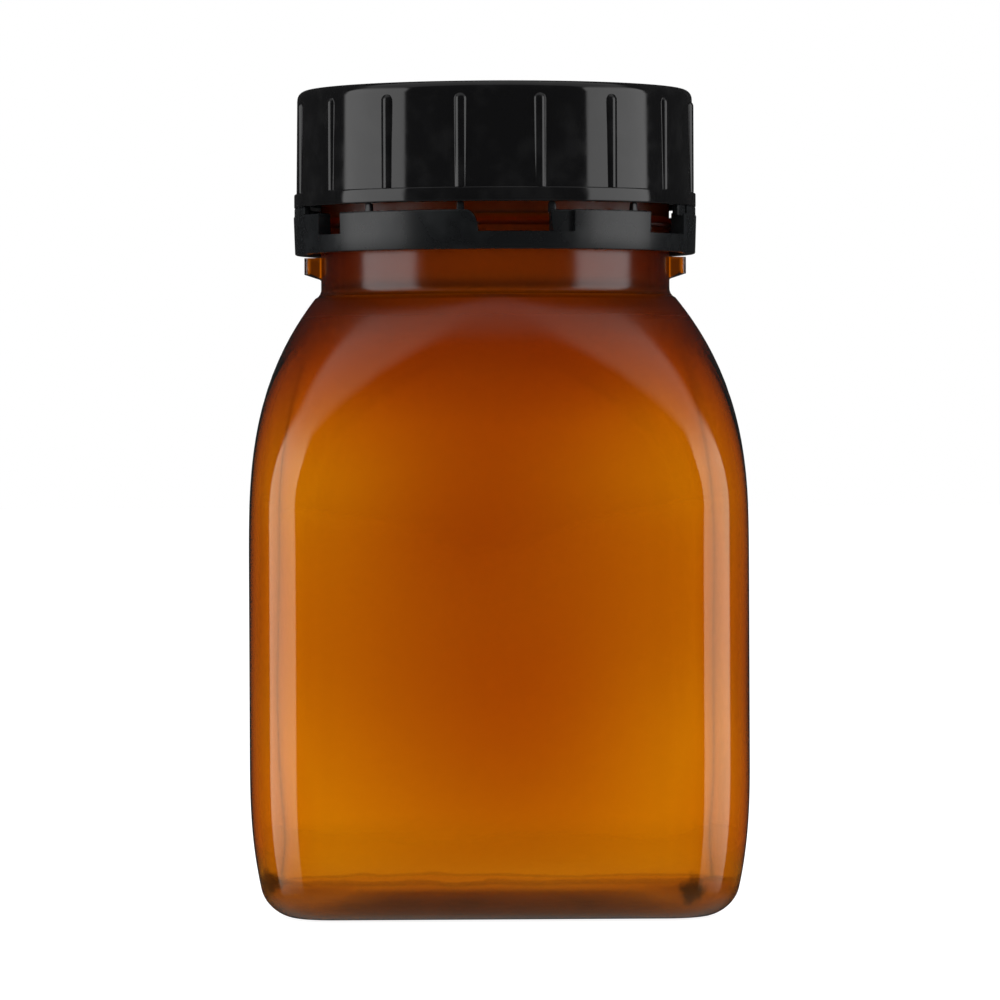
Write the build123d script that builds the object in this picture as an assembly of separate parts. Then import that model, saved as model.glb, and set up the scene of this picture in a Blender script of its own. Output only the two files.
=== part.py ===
from build123d import *
import os
from math import cos, radians, sin, sqrt

# Square media bottle with a ribbed screw cap and a tamper band, in millimetres.
# The origin is the centre of the base, on the surface that the bottle stands on.
# +Z is up and -Y is the front. Angles are counted from the front, towards +X.

# Bottle body
body_width = 62.0  # across the flats
corner_radius = 10.7  # of the upright corners, seen from above
wall = 1.0
floor_wall = 1.5
heel_height = 20.0  # the sides draw in below this height
heel_inset = 2.2  # by this much at the base
heel_power = 2.5
heel_bands = 4  # straight-sided bands that the heel is made of
heel_round = 3.5  # rounding of the bottom edge
round_count = 4  # straight-sided bands that a rounded edge is made of
land_width = 2.6  # flat rim of the base, round the push-up
push_up_depth = 1.8
push_up_slope = 4.5  # how far the push-up's wall leans in

# Shoulder: the square section turns into the round neck root
shoulder_start = 42.0  # height at which the flats start to draw in
shoulder_power = 3.1
corner_delay = 8.0  # how much higher the corners start to draw in
corner_power = 2.05
shoulder_top = 77.1
shoulder_bands = 9  # straight-sided bands that the shoulder is made of
least_flat = 0.1  # what is left of each flat at the neck root

# Neck
neck_radius = 22.15
neck_wall = 1.45
neck_height = 23.8  # from the shoulder's top to the lip
root_ledge = 0.3  # step where the shoulder meets the neck, inside and outside
flare_height = 1.2
flare_width = 0.65
lip_edge = 0.35  # chamfer of the lip
bead_depth = 1.25
bead_edge = 0.4  # upright edge of the bead
bead_slope = 0.9  # height of its sloping upper side
lug_depth = 2.12
lug_width = 2.6
lug_height = 2.9
lug_rise = 0.8  # how far the lug's under-face climbs outwards

# Liner and cap
liner_thickness = 1.0
liner_clearance = 0.3  # between the liner's rim and the cap's bore
cap_top_wall = 1.5
cap_top_round = 1.15
cap_wall = 1.3  # of the skirt at its top
cap_draft = 0.15  # how much wider the skirt is at its foot
thread_room = 1.63  # between the neck and the cap's bore
flange_step = 0.3
flange_height = 1.8
cap_height = 14.9
mouth_chamfer = 0.4
rib_count = 16
rib_phase = 11.95  # angle of the first rib
rib_radius = 0.8  # of its rounded crest
rib_inset = 0.08  # how far a crest stands in from the flange's face
rib_top_gap = 1.6  # from the cap's top down to the ribs' upper ends
rib_end = 1.2  # height of the sloping upper end of a rib

# Tamper band
band_gap = 1.0  # between the cap and the band, crossed by the bridges
band_height = 4.9
ring_height = 2.2  # unbroken lower part of the band
band_wall = 1.7  # of the unbroken ring at its top
band_draft = 0.15  # how much narrower the band is at its bottom
band_bead_clearance = 0.5  # between the upper band and the bead's rim
hook_play = 1.0  # between the hook's top and the bead
hook_clearance = 0.35  # between the hook and the neck
hook_thickness = 0.8
hook_slope = 0.7  # the hook's under-face rises inwards
bridge_width = 1.0
bridge_depth = 0.8
bridge_root = 0.4  # how deep a bridge's root runs into the band
bridge_inset = 0.35  # a bridge stands this far in from the band's face
panel_depth = 0.7  # recess of the thin panel beside each front or back window
tab_round = 1.8  # rounded corner of the tab left of each front or back window
windows = ((-5.7, 15.3), (48.5, 67.0), (117.4, 130.0))  # on one half of the band
panel = (15.3, 21.9)
bridge_angles = (15.9, 43.3, 78.0, 106.0, 139.9, 169.2)  # on one half of the band
panel_bridge = 15.9
HALVES = (0.0, 180.0)  # the band is the same after half a turn

# Worked out from the values above
half_width = body_width / 2
inner_corner_radius = corner_radius - wall
corner_start = shoulder_start + corner_delay
shoulder_top_radius = neck_radius + flare_width + root_ledge
neck_bore = neck_radius - neck_wall
lip_height = shoulder_top + neck_height
foot_half = half_width - heel_inset - heel_round
push_up_half = foot_half - land_width
cap_ceiling = lip_height + liner_thickness
cap_top = cap_ceiling + cap_top_wall
cap_open = cap_top - cap_height
cap_bore = neck_radius + thread_room
cap_radius_top = cap_bore + cap_wall
cap_radius_base = cap_radius_top + cap_draft
flange_radius = cap_radius_base + flange_step
flange_top = cap_open + flange_height
band_top = cap_open - band_gap
band_bottom = band_top - band_height
ring_top = band_bottom + ring_height
bead_bottom = ring_top + hook_play
bead_radius = neck_radius + bead_depth
lug_radius = neck_radius + lug_depth
band_inner = bead_radius + band_bead_clearance
band_radius_top = band_inner + band_wall
band_radius_bottom = band_radius_top - band_draft
hook_radius = neck_radius + hook_clearance


def polar(radius, angle):
    """Point at a radius and an angle counted from the front towards +X."""
    return (radius * sin(radians(angle)), -radius * cos(radians(angle)))


def turned(shape, angle):
    """Shape made at the front, turned about Z to its angle."""
    return Rot(Z=angle) * shape


def rounded_square(half, radius, height):
    """Horizontal rounded square about the Z axis."""
    radius = min(radius, half - least_flat / 2)
    return Pos(Z=height) * RectangleRounded(2 * half, 2 * half, radius)


def steps(low, high, count):
    """Evenly spaced heights from low to high."""
    return [low + (high - low) * i / count for i in range(count + 1)]


def shoulder_section(height, half, corner, top_radius):
    """Section of the shoulder: flats and corners draw in along curves of their own."""
    flat_share = max(0, (height - shoulder_start) / (shoulder_top - shoulder_start))
    corner_share = max(0, (height - corner_start) / (shoulder_top - corner_start))
    flat = half - (half - top_radius) * flat_share**shoulder_power
    full_diagonal = sqrt(2) * (half - corner) + corner
    diagonal = full_diagonal - (full_diagonal - top_radius) * corner_share**corner_power
    radius = (sqrt(2) * flat - diagonal) / (sqrt(2) - 1)
    return rounded_square(flat, radius, height)


def shoulder(half, corner, top_radius):
    """Lofted shoulder, from the upright sides to the neck root."""
    heights = steps(shoulder_start, shoulder_top, shoulder_bands)
    return loft([shoulder_section(z, half, corner, top_radius) for z in heights], ruled=True)


def barrel(half, corner):
    """Upright part of the body between the heel and the shoulder."""
    return extrude(rounded_square(half, corner, heel_height), shoulder_start - heel_height)


def rounding(radius):
    """Steps of a rounded edge: how far each stands in from the side, and from the end face."""
    angles = steps(0, 90, round_count)
    return [(radius * (1 - sin(radians(a))), radius * (1 - cos(radians(a)))) for a in angles]


def heel(half, corner, bottom, edge_round):
    """Lower body, which draws in towards the base and has a rounded bottom edge."""
    insets = [(step, bottom + rise) for step, rise in rounding(edge_round)]
    insets += [(0, z) for z in steps(bottom + edge_round, heel_height, heel_bands)[1:]]
    sections = []
    for step, z in insets:
        inset = step + heel_inset * (1 - z / heel_height) ** heel_power
        sections.append(rounded_square(half - inset, corner - inset, z))
    return loft(sections, ruled=True)


def push_up(growth, bottom):
    """Shallow raised middle of the base. Growth makes it larger for the inside of the floor."""
    half = push_up_half + growth
    radius = corner_radius / 2 + growth
    top = push_up_depth + (floor_wall if growth else 0)
    return loft(
        [
            rounded_square(half, radius, bottom),
            rounded_square(half - push_up_slope, radius, top),
        ],
        ruled=True,
    )


def neck():
    """Round neck with its flared root, retaining bead and chamfered lip, bore not cut."""
    root = shoulder_top_radius - root_ledge
    bead_top = bead_bottom + bead_edge
    outline = Polyline(
        (root, shoulder_top),
        (0, shoulder_top),
        (0, lip_height),
        (neck_radius - lip_edge, lip_height),
        (neck_radius, lip_height - lip_edge),
        (neck_radius, bead_top + bead_slope),
        (bead_radius, bead_top),
        (bead_radius, bead_bottom),
        (neck_radius, bead_bottom),
        (neck_radius, shoulder_top + flare_height),
        close=True,
    )
    return revolve(Plane.XZ * make_face(outline), Axis.Z)


def lug():
    """Fin at the right of the neck, under the band, which stops the loose band sliding down."""
    top = band_bottom - hook_clearance
    outline = Polyline(
        (neck_bore + neck_wall / 2, top),
        (lug_radius, top),
        (lug_radius, top - lug_height + lug_rise),
        (neck_radius, top - lug_height),
        (neck_bore + neck_wall / 2, top - lug_height),
        close=True,
    )
    return extrude(Plane.XZ * make_face(outline), lug_width / 2, both=True)


def cavity():
    """Inside of the bottle: the floor, the body, the shoulder and the neck's bore."""
    half = half_width - wall
    hollow = heel(half, inner_corner_radius, floor_wall, heel_round - wall)
    hollow += barrel(half, inner_corner_radius)
    hollow += shoulder(half, inner_corner_radius, neck_bore + root_ledge)
    bore = Cylinder(neck_bore, lip_height - shoulder_top, align=(Align.CENTER, Align.CENTER, Align.MIN))
    hollow += Pos(Z=shoulder_top) * bore
    return hollow - push_up(floor_wall, floor_wall / 2)


def bottle():
    """Blown body, shoulder and neck in one piece."""
    outside = heel(half_width, corner_radius, 0, heel_round)
    outside += barrel(half_width, corner_radius)
    outside += shoulder(half_width, corner_radius, shoulder_top_radius)
    outside += neck()
    for turn in HALVES:
        outside += turned(lug(), turn)
    return outside - cavity() - push_up(0, 0)


def sealing_liner():
    """Disc between the cap's ceiling and the bottle's lip."""
    disc = Cylinder(cap_bore - liner_clearance, liner_thickness, align=(Align.CENTER, Align.CENTER, Align.MIN))
    return Pos(Z=lip_height) * disc


def rib():
    """Upright grip rib at the front of the cap's skirt, with a sloping upper end."""
    foot = flange_top - flange_height / 2
    length = cap_top - rib_top_gap - rib_end - foot
    upward = (Align.CENTER, Align.CENTER, Align.MIN)
    rod = Cylinder(rib_radius, length, align=upward)
    rod += Pos(Z=length) * Cone(rib_radius, 0, rib_end, align=upward)
    return Pos(0, rib_inset + rib_radius - flange_radius, foot) * rod


def screw_cap():
    """Cap with a flat top, a ribbed skirt and a plain flange. Its bore leaves room for the thread."""
    edge = [(cap_radius_top - step, cap_top - drop) for step, drop in rounding(cap_top_round)]
    outline = make_face(
        Polyline(
            (0, cap_top),
            *edge,
            (cap_radius_base, flange_top),
            (flange_radius, flange_top),
            (flange_radius, cap_open),
            (cap_bore + mouth_chamfer, cap_open),
            (cap_bore, cap_open + mouth_chamfer),
            (cap_bore, cap_ceiling),
            (0, cap_ceiling),
            close=True,
        )
    )
    cap = revolve(Plane.XZ * outline, Axis.Z)
    for i in range(rib_count):
        cap += turned(rib(), rib_phase + i * 360 / rib_count)
    return cap


def sector(start, end, bottom, top):
    """Wedge of space between two angles, wider than the band."""
    reach = 2 * band_radius_top
    outline = Polyline((0, 0), polar(reach, start), polar(reach, end), close=True)
    return Pos(Z=bottom) * extrude(make_face(outline), top - bottom)


def band_ring():
    """Whole ring of the band, with the hook that catches under the bead."""
    outline = Polyline(
        (band_radius_bottom, band_bottom),
        (band_radius_top, band_top),
        (band_inner, band_top),
        (band_inner, ring_top),
        (hook_radius, ring_top),
        (hook_radius, ring_top - hook_thickness),
        (band_inner, ring_top - hook_thickness - hook_slope),
        (band_inner, band_bottom),
        close=True,
    )
    return revolve(Plane.XZ * make_face(outline), Axis.Z)


def bridge(angle):
    """Thin bridge from the band up to the face of the cap's flange."""
    face = band_radius_bottom - bridge_inset
    if angle == panel_bridge:
        face -= panel_depth - bridge_inset
    height = band_gap + bridge_root
    block = Box(bridge_width, bridge_depth, height, align=(Align.CENTER, Align.MIN, Align.MAX))
    return turned(Pos(0, -face, cap_open) * block, angle)


def tamper_band():
    """Band below the cap: a ring with upright tabs between the windows, and its bridges."""
    band = band_ring()
    for turn in HALVES:
        for start, end in windows:
            band -= sector(start + turn, end + turn, ring_top, band_top + band_gap)
        recess = sector(panel[0] + turn, panel[1] + turn, ring_top, band_top + band_gap)
        band -= recess - Cylinder(band_radius_bottom - panel_depth, 4 * cap_top)
    for turn in HALVES:
        corner = (*polar((band_inner + band_radius_top) / 2, windows[0][0] + turn), band_top)
        band = fillet(band.edges().sort_by_distance(corner)[0], tab_round)
    for turn in HALVES:
        for angle in bridge_angles:
            band += turned(bridge(angle), turn)
    return band


parts = {
    "bottle": bottle(),
    "screw_cap": screw_cap(),
    "tamper_band": tamper_band(),
    "sealing_liner": sealing_liner(),
}

os.makedirs("parts", exist_ok=True)
for name, shape in parts.items():
    export_step(shape, f"parts/{name}.step")
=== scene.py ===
"""Square amber media bottle with a ribbed screw cap, a tamper band and a sealing liner.

All sizes of the pieces are in millimetres. Angles are counted from the front (-Y) towards +X.
"""

import logging
import math
from collections.abc import Callable, Sequence
from dataclasses import dataclass, field
from enum import Enum

import bmesh
import bpy
from bmesh.types import BMesh, BMEdge, BMVert
from mathutils import Euler, Matrix, Vector

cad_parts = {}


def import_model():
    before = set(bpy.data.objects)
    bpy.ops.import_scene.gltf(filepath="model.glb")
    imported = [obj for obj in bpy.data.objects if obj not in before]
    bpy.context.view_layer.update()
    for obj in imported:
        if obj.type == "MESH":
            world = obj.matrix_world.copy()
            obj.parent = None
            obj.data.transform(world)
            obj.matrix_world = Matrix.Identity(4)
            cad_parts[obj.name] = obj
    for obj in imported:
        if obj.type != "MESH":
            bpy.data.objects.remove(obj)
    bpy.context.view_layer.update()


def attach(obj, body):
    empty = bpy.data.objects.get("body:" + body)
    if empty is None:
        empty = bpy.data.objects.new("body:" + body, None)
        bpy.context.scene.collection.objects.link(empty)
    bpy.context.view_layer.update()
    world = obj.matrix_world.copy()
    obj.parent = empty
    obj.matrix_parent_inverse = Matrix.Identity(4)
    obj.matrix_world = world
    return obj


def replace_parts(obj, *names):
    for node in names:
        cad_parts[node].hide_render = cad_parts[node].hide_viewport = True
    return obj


LOG = logging.getLogger("media_bottle")
MM = 0.001
SHARP_ANGLE = math.radians(25)
HALF_TURNS = (0.0, 180.0)  # the band is the same at the front and the back

Pair = tuple[float, float]
Ring = Callable[[float], Pair]
Colour = tuple[float, float, float, float]
Socket = bpy.types.NodeSocket
Place = tuple[Socket, ...]


class Body(Enum):
    """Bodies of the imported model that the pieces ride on."""

    BOTTLE = "bottle"
    LINER = "liner"
    CAP = "cap"


class Slot(Enum):
    """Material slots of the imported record."""

    AMBER = "amber_plastic"
    BLACK = "black_plastic"
    LINER = "liner_plastic"


def clamp(value: float, low: float = 0.0, high: float = 1.0) -> float:
    """Value held between low and high."""
    return min(max(value, low), high)


def mix(low: float, high: float, share: float) -> float:
    """Value at a share of the way from low to high."""
    return low + (high - low) * share


def ease(share: float) -> float:
    """Smooth step from 0 to 1."""
    share = clamp(share)
    return share * share * (3 - 2 * share)


def soft_most(first: float, second: float, blend: float) -> float:
    """Greater of two values, filleted over a small distance where they cross.

    Args:
        first: One value.
        second: The other value.
        blend: Distance over which the crossing is rounded.

    Returns:
        The softened greater value.
    """
    share = clamp(0.5 + 0.5 * (first - second) / blend)
    return mix(second, first, share) + blend * share * (1 - share)


def spread(low: float, high: float, count: int) -> list[float]:
    """Values from low to high in even steps, both ends included."""
    return [mix(low, high, step / count) for step in range(count + 1)]


def level(radius: float, height: float) -> Ring:
    """Plain circular ring at one height."""
    return lambda angle: (radius, height)


@dataclass(frozen=True)
class Section:
    """Level section of the bottle: a square with rounded corners about the axis."""

    half: float
    corner: float
    height: float

    def reach(self, angle: float) -> float:
        """Distance from the axis to the outline.

        Args:
            angle: Direction, in radians.

        Returns:
            The distance in millimetres.
        """
        turn = abs((angle + math.pi / 4) % (math.pi / 2) - math.pi / 4)
        corner = min(self.corner, self.half)
        centre = self.half - corner
        if math.tan(turn) * self.half <= centre:
            return self.half / math.cos(turn)
        along = centre * (math.sin(turn) + math.cos(turn))
        return along + math.sqrt(max(along * along - 2 * centre * centre + corner * corner, 0))

    def __call__(self, angle: float) -> Pair:
        """Radius and height of the outline in one direction."""
        return self.reach(angle), self.height


@dataclass(frozen=True)
class Thread:
    """Helical ridge that rises with the angle."""

    start: float  # height of the ridge's middle where it begins
    begin: float  # angle where it begins, in turns
    turns: float
    depth: float
    root: float  # width where it leaves the wall
    crest: float
    pitch: float = 4.0
    run_out: float = 0.12  # turns over which each end fades

    def push(self, angle: float, height: float) -> float:
        """How far the ridge stands off its wall at a point.

        Args:
            angle: Direction of the point, in radians.
            height: Height of the point.

        Returns:
            The distance in millimetres.
        """
        best = 0.0
        along = (angle / math.tau - self.begin) % 1.0
        while along <= self.turns:
            offset = abs(height - self.start - self.pitch * along)
            flank = clamp((self.root / 2 - offset) * 2 / (self.root - self.crest))
            fade = min(along / self.run_out, (self.turns - along) / self.run_out, 1.0)
            best = max(best, self.depth * ease(flank) * ease(fade))
            along += 1.0
        return best


class Tube:
    """Closed skin that grows ring by ring from a small circle, and may fold back inside itself."""

    def __init__(self, angles: Sequence[float], first: Ring) -> None:
        """Starts the skin.

        Args:
            angles: Direction of each column of vertices, in radians.
            first: Ring that the skin starts from, which closes to a pole.
        """
        self.angles = list(angles)
        self.mesh: BMesh = bmesh.new()
        made = bmesh.ops.create_circle(self.mesh, cap_ends=False, segments=len(self.angles), radius=MM)
        self.rim: list[BMVert] = list(made["verts"])
        self.first_rim = list(self.rim)
        self._place(first)

    def _place(self, ring: Ring) -> None:
        """Moves the open rim to a ring."""
        for vert, angle in zip(self.rim, self.angles):
            radius, height = ring(angle)
            vert.co = Vector((radius * math.sin(angle), -radius * math.cos(angle), height)) * MM

    def _rim_edges(self) -> list[BMEdge]:
        """Edges of the open rim."""
        count = len(self.rim)
        pairs = ((self.rim[i], self.rim[(i + 1) % count]) for i in range(count))
        return [edge for edge in (self.mesh.edges.get(pair) for pair in pairs) if edge]

    def grow(self, ring: Ring) -> None:
        """Extrudes the open rim to a further ring."""
        made = bmesh.ops.extrude_edge_only(self.mesh, edges=self._rim_edges())
        fresh = {item for item in made["geom"] if isinstance(item, BMVert)}
        self.rim = [
            next(edge.other_vert(vert) for edge in vert.link_edges if edge.other_vert(vert) in fresh)
            for vert in self.rim
        ]
        self._place(ring)

    def grow_all(self, rings: Sequence[Ring]) -> None:
        """Extrudes the open rim through several rings."""
        for ring in rings:
            self.grow(ring)

    def close(self) -> BMesh:
        """Closes both ends to poles on the axis and points the faces outwards.

        Returns:
            The closed mesh.
        """
        for rim in (self.first_rim, self.rim):
            middle = Vector((0, 0, sum(vert.co.z for vert in rim) / len(rim)))
            bmesh.ops.pointmerge(self.mesh, verts=rim, merge_co=middle)
        bmesh.ops.recalc_face_normals(self.mesh, faces=self.mesh.faces)
        return self.mesh


def finished(
    mesh: BMesh, name: str, body: Body, material: bpy.types.Material
) -> bpy.types.Object:
    """Makes an object of a mesh, dresses it and sets it on its body.

    Args:
        mesh: The piece, in metres.
        name: Name of the piece.
        body: Body that it rides on.
        material: Its finish.

    Returns:
        The object.
    """
    data = bpy.data.meshes.new(name)
    mesh.to_mesh(data)
    mesh.free()
    data.materials.append(material)
    data.shade_smooth()
    data.set_sharp_from_angle(angle=SHARP_ANGLE)
    piece = bpy.data.objects.new(name, data)
    bpy.context.scene.collection.objects.link(piece)
    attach(piece, body.value)
    triangles = sum(len(face.vertices) - 2 for face in data.polygons)
    LOG.info("%s: %d triangles on %s", name, triangles, body.value)
    return piece


# ---------------------------------------------------------------- finishes


class Shader:
    """Short way to add and link the nodes of one material."""

    def __init__(self, name: str) -> None:
        """Starts an empty node tree.

        Args:
            name: Name of the material.
        """
        self.material = bpy.data.materials.new(name)
        self.material.use_nodes = True
        self.tree = self.material.node_tree
        self.tree.nodes.clear()
        self.output = self.tree.nodes.new("ShaderNodeOutputMaterial")

    @classmethod
    def of_world(cls, world: bpy.types.World) -> "Shader":
        """Starts the node tree of a world.

        Args:
            world: The world.

        Returns:
            Its empty tree with an output.
        """
        made = cls.__new__(cls)
        made.tree = world.node_tree
        made.tree.nodes.clear()
        made.output = made.tree.nodes.new("ShaderNodeOutputWorld")
        return made

    def node(self, kind: str, **settings: object) -> bpy.types.Node:
        """Adds a node.

        Args:
            kind: Type of the node without its ShaderNode prefix.
            **settings: Attributes to set on it.

        Returns:
            The node.
        """
        made = self.tree.nodes.new("ShaderNode" + kind)
        for key, value in settings.items():
            setattr(made, key, value)
        return made

    def link(self, source: Socket, target: Socket) -> None:
        """Links two sockets."""
        self.tree.links.new(source, target)

    def math(self, operation: str, *inputs: object) -> Socket:
        """Adds a Math node.

        Args:
            operation: Its operation.
            *inputs: A socket or a number for each input in turn.

        Returns:
            Its output.
        """
        made = self.node("Math", operation=operation)
        for socket, value in zip(made.inputs, inputs):
            if isinstance(value, Socket):
                self.link(value, socket)
            else:
                socket.default_value = value
        return made.outputs[0]

    def plus(self, first: object, second: object) -> Socket:
        """Sum of two sockets or numbers."""
        return self.math("ADD", first, second)

    def less(self, first: object, second: object) -> Socket:
        """Difference of two sockets or numbers."""
        return self.math("SUBTRACT", first, second)

    def times(self, first: object, second: object) -> Socket:
        """Product of two sockets or numbers."""
        return self.math("MULTIPLY", first, second)

    def absolute(self, value: Socket) -> Socket:
        """Size of a value without its sign."""
        return self.math("ABSOLUTE", value)

    def greatest(self, first: Socket, *others: Socket) -> Socket:
        """Greatest of some values."""
        for other in others:
            first = self.math("MAXIMUM", first, other)
        return first

    def distance(self, across: Socket, along: Socket) -> Socket:
        """Length of the vector that has these two parts."""
        return self.math("SQRT", self.plus(self.math("POWER", across, 2.0), self.math("POWER", along, 2.0)))

    def ramp(self, share: Socket, low: float, high: float) -> Socket:
        """Smooth rise from 0 to 1 as a value goes from low to high."""
        made = self.node("MapRange", interpolation_type="SMOOTHSTEP")
        self.link(share, made.inputs["Value"])
        made.inputs["From Min"].default_value = low
        made.inputs["From Max"].default_value = high
        return made.outputs["Result"]

    def fall(self, share: Socket, low: float, high: float) -> Socket:
        """Smooth fall from 1 to 0 as a value goes from low to high."""
        return self.less(1.0, self.ramp(share, low, high))

    def band(self, share: Socket, middle: float, half: float) -> Socket:
        """Smooth rise to 1 and fall to 0 on each side of a middle."""
        return self.fall(self.absolute(self.less(share, middle)), half * 0.4, half)

    def blend(self, share: Socket, low: object, high: object) -> Socket:
        """Colour between two, each a colour or a socket."""
        made = self.node("Mix", data_type="RGBA")
        self.link(share, made.inputs["Factor"])
        for name, value in (("A", low), ("B", high)):
            socket = next(s for s in made.inputs if s.name == name and s.type == "RGBA")
            if isinstance(value, Socket):
                self.link(value, socket)
            else:
                socket.default_value = value
        return next(s for s in made.outputs if s.type == "RGBA")

    def place(self) -> Place:
        """Object coordinates as three sockets, in metres."""
        coordinates = self.node("TexCoord")
        split = self.node("SeparateXYZ")
        self.link(coordinates.outputs["Object"], split.inputs[0])
        return tuple(split.outputs)

    def noise(self, scale: float, detail: float = 2.0) -> Socket:
        """Noise on Object coordinates, as a value about 0.5."""
        coordinates = self.node("TexCoord")
        made = self.node("TexNoise")
        made.inputs["Scale"].default_value = scale
        made.inputs["Detail"].default_value = detail
        self.link(coordinates.outputs["Object"], made.inputs["Vector"])
        return made.outputs["Fac"]

    def wobble(self, scale: float, depth: float, detail: float = 2.0) -> Socket:
        """Noise on Object coordinates, as a value about 0."""
        return self.times(self.less(self.noise(scale, detail), 0.5), depth)

    def bump(self, height: Socket, distance: float, strength: float) -> Socket:
        """Bumped normal from a height."""
        made = self.node("Bump")
        made.inputs["Strength"].default_value = strength
        made.inputs["Distance"].default_value = distance
        self.link(height, made.inputs["Height"])
        return made.outputs["Normal"]


@dataclass(frozen=True)
class AmberPlastic:
    """Clear amber plastic, whose tint is stronger where the wall is thicker, with painted shade low down, at
    the crease, the bead, the lugs' roots, the finish and the edges.
    """

    name: str = "amber_plastic"
    clear_tint: Colour = (1.0, 1.0, 1.0, 1.0)
    thick_tint: Colour = (0.625, 0.30, 0.205, 1.0)
    shoulder_tint: Colour = (0.70, 0.56, 0.32, 1.0)
    # painted shade at the top of the shoulder, where it meets the neck
    painted_crease_shade: Colour = (0.47, 0.42, 0.55, 1.0)
    # the neck's tint: partly its thicker wall, partly painted shade of the dark cap above it
    neck_tint_and_shade: Colour = (0.86, 0.80, 0.80, 1.0)
    painted_finish_shade: Colour = (0.52, 0.44, 0.36, 1.0)  # painted shade of the threaded finish, behind the band and under the cap
    painted_crease_line: Colour = (0.14, 0.14, 0.20, 1.0)  # painted dark line of shade at the sharp crease where neck and shoulder meet
    painted_bead_shade: Colour = (0.24, 0.30, 0.60, 1.0)  # painted shade on the slope on top of the bead
    body_gloss: Colour = (1.0, 0.60, 0.08, 1.0)  # of the inner reflections, which pass through amber
    neck_gloss: Colour = (1.0, 1.0, 1.0, 1.0)
    heel_tint: Colour = (0.80, 0.56, 0.12, 1.0)  # keeps the thin heel amber
    painted_low_shade: Colour = (0.66, 0.40, 0.15, 1.0)  # painted shade low down, over the uneven floor
    painted_shade_line: Colour = (0.34, 0.22, 0.14, 1.0)  # painted dark line, thin and uneven, over it
    painted_foot_shade: Colour = (0.30, 0.17, 0.10, 1.0)  # painted shade at the bottom edge
    # dark spots at the two bottom corners of the front
    dark_spot_tint: Colour = (0.16, 0.115, 0.30, 1.0)
    painted_lug_outline: Colour = (0.16, 0.14, 0.16, 1.0)  # painted dark outline of shade at the lugs' roots
    painted_edge_shade: Colour = (0.42, 0.37, 0.36, 1.0)  # painted dark outline where the wall is seen along its length, which is darker there too for the longer path through it
    absorbed: Colour = (0.9425, 0.806, 0.0, 1.0)
    density: float = 4500.0
    index: float = 1.57
    roughness: float = 0.03
    crease_roughness: float = 0.28
    neck_roughness: float = 0.16
    bore_roughness: float = 0.45  # further haze of the inside of the neck
    heel_roughness: float = 0.22  # further haze of the bottom edge, where the floor pools
    finish_roughness: float = 0.25  # further haze of the threaded finish
    middle: float = 0.65  # share of the thick tint in the middle of each side
    half_width: float = 0.031
    corner: Pair = (0.0235, 0.0285)  # where the sides turn into the corners
    off_edges: float = 0.46  # taken off that share at the edges of a side
    off_corners: float = 0.25  # further at the corners
    off_foot: float = 0.34  # at the foot
    off_bulge: float = 0.08  # where the shoulder starts
    off_bulge_edges: float = 0.12  # and further at its edges
    cloud: Pair = (45.0, 0.08)  # scale and depth of the cloudiness of the wall
    uneven: tuple[float, float, float] = (140.0, 0.0016, 4.0)  # of the painted low shade's edge, with its detail
    ragged: tuple[float, float, float] = (600.0, 0.0034, 4.0)  # and of the dark spots' edges
    foot: Pair = (0.0, 0.034)  # the wall thins downwards between these heights
    shoulder: Pair = (0.059, 0.072)  # and thickens upwards between these
    heel: Pair = (0.0035, 0.010)  # the heel's tint fades upwards between these
    pooled: Pair = (0.0030, 0.0060)  # and its haze
    low_shade_heights: Pair = (0.0040, 0.0052)  # and the painted low shade
    shade_line_band: Pair = (0.0049, 0.00045)  # middle and half width of the painted dark line over it
    shade_line_share: float = 0.42
    bottom: Pair = (0.0004, 0.0034)  # the painted shade at the foot fades upwards between these
    # Place across, height and radius of each dark spot.
    dark_spots: tuple[tuple[float, float, float], ...] = ((0.0233, 0.0039, 0.0021), (-0.0286, 0.0046, 0.0021))
    dark_spot_core: float = 0.35  # share of the radius that is all dark
    front: Pair = (-0.020, -0.015)  # the dark spots are on the front alone
    side_delay: float = 0.0045  # how much higher the shoulder thickens at its sides
    crease: Pair = (0.0745, 0.0766)  # each tint takes over from the last between these
    neck: Pair = (0.0782, 0.0796)
    threaded: Pair = (0.082, 0.084)
    hazed: Pair = (0.066, 0.0755)  # the crease's haze comes in upwards
    above: Pair = (0.0771, 0.0780)  # and gives way to the neck's
    bulge: tuple[float, float, float] = (0.058, 0.002, 0.0125)  # where the shoulder starts
    lugs: Pair = (0.0809, 0.0021)  # middle and half height of the lugs
    root_start: Pair = (0.0222, 0.0224)  # their roots, outwards from the neck
    root_end: Pair = (0.0233, 0.0237)
    line: Pair = (0.0770, 0.0005)  # middle and half width
    bead: Pair = (0.08685, 0.00085)
    warm: Pair = (0.064, 0.078)  # amber inner reflections give way to clear ones
    bore: Pair = (0.0210, 0.0215)  # radius of the inside of the neck
    bore_foot: Pair = (0.0765, 0.0775)
    rim: Pair = (0.33, 1.0)  # how far aslant the wall is seen along its length
    neck_rim: Pair = (0.36, 0.68)

    def make(self) -> bpy.types.Material:
        """Builds the material.

        Returns:
            The material.
        """
        shader = Shader(self.name)
        place = shader.place()
        skin = shader.node("BsdfPrincipled")
        skin.inputs["IOR"].default_value = self.index
        skin.inputs["Transmission Weight"].default_value = 1.0
        shader.link(self.haze(shader, place), skin.inputs["Roughness"])
        shader.link(self.tint(shader, place), skin.inputs["Base Color"])
        plain = shader.ramp(place[2], *self.warm)
        shader.link(shader.blend(plain, self.body_gloss, self.neck_gloss), skin.inputs["Specular Tint"])
        shader.link(shader.less(1.0, plain), skin.inputs["Coat Weight"])
        inside = shader.node("VolumeAbsorption")
        inside.inputs["Color"].default_value = self.absorbed
        inside.inputs["Density"].default_value = self.density
        shader.link(skin.outputs[0], shader.output.inputs["Surface"])
        shader.link(inside.outputs[0], shader.output.inputs["Volume"])
        return shader.material

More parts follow.
